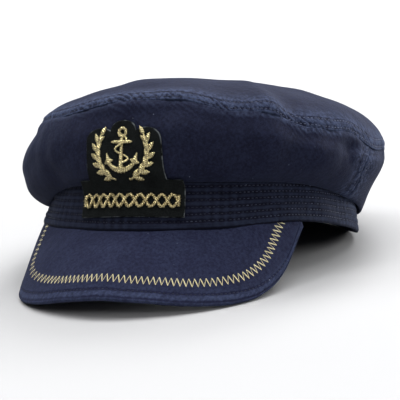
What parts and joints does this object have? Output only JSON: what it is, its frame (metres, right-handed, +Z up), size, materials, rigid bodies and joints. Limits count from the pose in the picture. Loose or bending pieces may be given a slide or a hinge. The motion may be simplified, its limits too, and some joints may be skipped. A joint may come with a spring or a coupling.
{
  "type": "captain hat",
  "caption": "Soft navy cotton captain's cap: an oval crown that overhangs a stitched head band, a stiff front peak, and a dark felt badge with a gold anchor, laurels and rope bar.",
  "frame": {"origin": "middle of the cap's outline from above, on the surface that it rests on", "axes": "+X across the cap towards the wearer's left, +Y from the peak to the back, +Z up"},
  "size_m": [0.2084, 0.259, 0.1096],
  "materials": {
    "crown_cotton": "matt navy cotton twill",
    "band_cotton": "matt navy cotton twill with stitch rows",
    "peak_cotton": "matt navy cotton twill pressed over a board",
    "badge_felt": "dense dark felt",
    "gold_thread": "worked metal thread, satin"
  },
  "bodies": {
    "root": {"crown_tip": "crown_cotton", "crown_front_panel": "crown_cotton", "crown_back_panel": "crown_cotton", "head_band": "band_cotton", "peak": "peak_cotton", "badge_patch": "badge_felt", "anchor": "gold_thread", "laurel_left": "gold_thread", "laurel_right": "gold_thread", "rope_bar": "gold_thread"}
  },
  "joints": []
}
